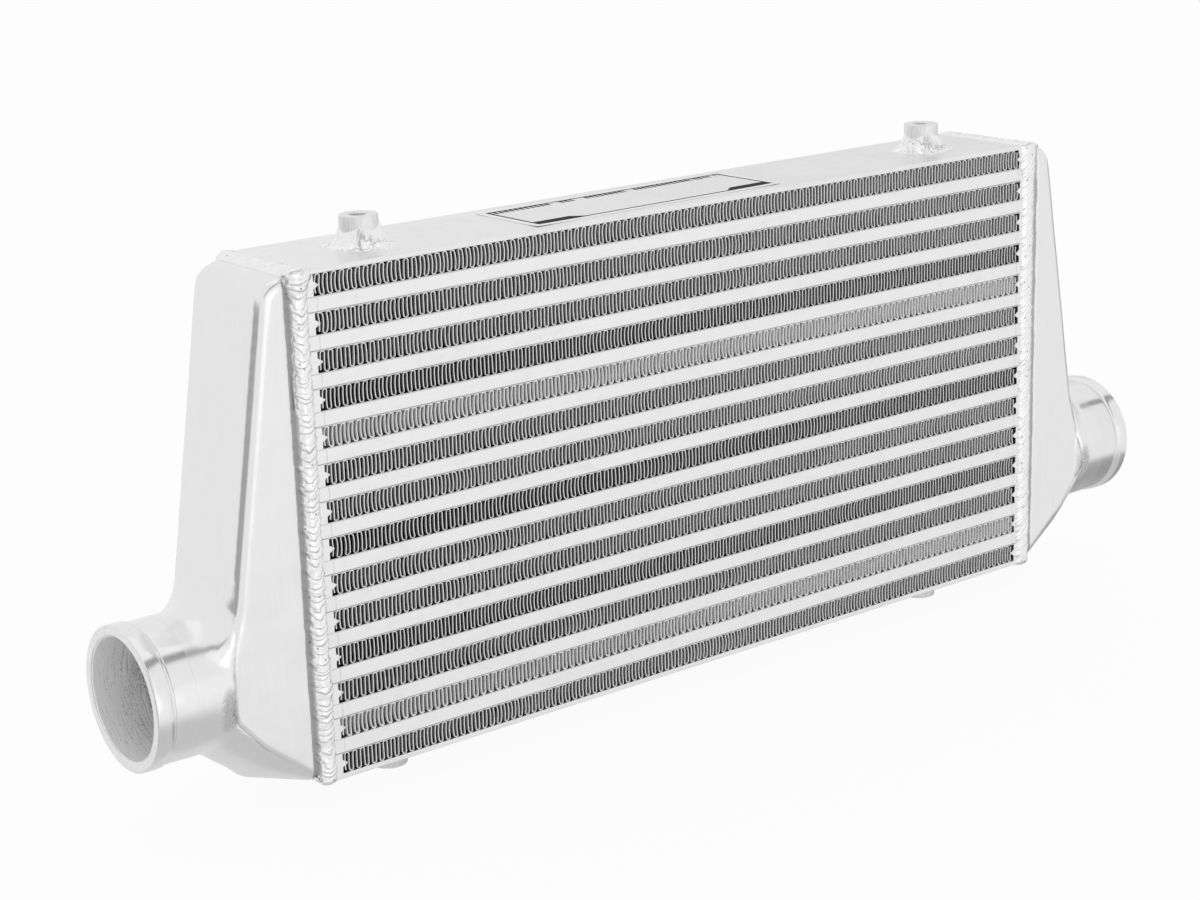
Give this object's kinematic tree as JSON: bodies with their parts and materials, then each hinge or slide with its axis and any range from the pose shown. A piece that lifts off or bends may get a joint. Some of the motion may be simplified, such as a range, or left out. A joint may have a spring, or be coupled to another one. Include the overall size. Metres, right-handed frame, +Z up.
{
  "type": "air to air intercooler",
  "caption": "Air to air intercooler: a brazed bar and plate core between two cast end tanks with round hose necks, and threaded mounting bungs above and below.",
  "frame": {"origin": "below the middle of the core, level with the end faces of the lower bungs", "axes": "+X from the left tank to the right one, -Y out of the front face, +Z up"},
  "size_m": [0.61, 0.0652, 0.2574],
  "materials": {
    "cast_tank": "cast and bead blasted, machined at the neck",
    "plate": "rolled sheet, satin",
    "bar": "milled flat, satin",
    "sheet": "brazed edge, satin",
    "air_fin": "thin folded foil, satin",
    "charge_fin": "thin folded foil, satin",
    "bung": "turned, brushed",
    "weld": "rippled weld bead, bright",
    "label_foil": "silver printed foil, bare of words"
  },
  "bodies": {
    "root": {"end_tank_left": "cast_tank", "end_tank_right": "cast_tank", "side_plate_top": "plate", "side_plate_bottom": "plate", "front_bars": "bar", "back_bars": "bar", "left_end_bars": "bar", "right_end_bars": "bar", "parting_sheets": "sheet", "air_fin_01": "air_fin", "air_fin_02": "air_fin", "air_fin_03": "air_fin", "air_fin_04": "air_fin", "air_fin_05": "air_fin", "air_fin_06": "air_fin", "air_fin_07": "air_fin", "air_fin_08": "air_fin", "air_fin_09": "air_fin", "air_fin_10": "air_fin", "air_fin_11": "air_fin", "air_fin_12": "air_fin", "air_fin_13": "air_fin", "air_fin_14": "air_fin", "charge_fin_01": "charge_fin", "charge_fin_02": "charge_fin", "charge_fin_03": "charge_fin", "charge_fin_04": "charge_fin", "charge_fin_05": "charge_fin", "charge_fin_06": "charge_fin", "charge_fin_07": "charge_fin", "charge_fin_08": "charge_fin", "charge_fin_09": "charge_fin", "charge_fin_10": "charge_fin", "charge_fin_11": "charge_fin", "charge_fin_12": "charge_fin", "charge_fin_13": "charge_fin", "bung_top_left": "bung", "bung_weld_top_left": "weld", "bung_top_right": "bung", "bung_weld_top_right": "weld", "bung_bottom_left": "bung", "bung_weld_bottom_left": "weld", "bung_bottom_right": "bung", "bung_weld_bottom_right": "weld", "seam_weld_left": "weld", "seam_weld_right": "weld", "label": "label_foil"}
  },
  "joints": []
}
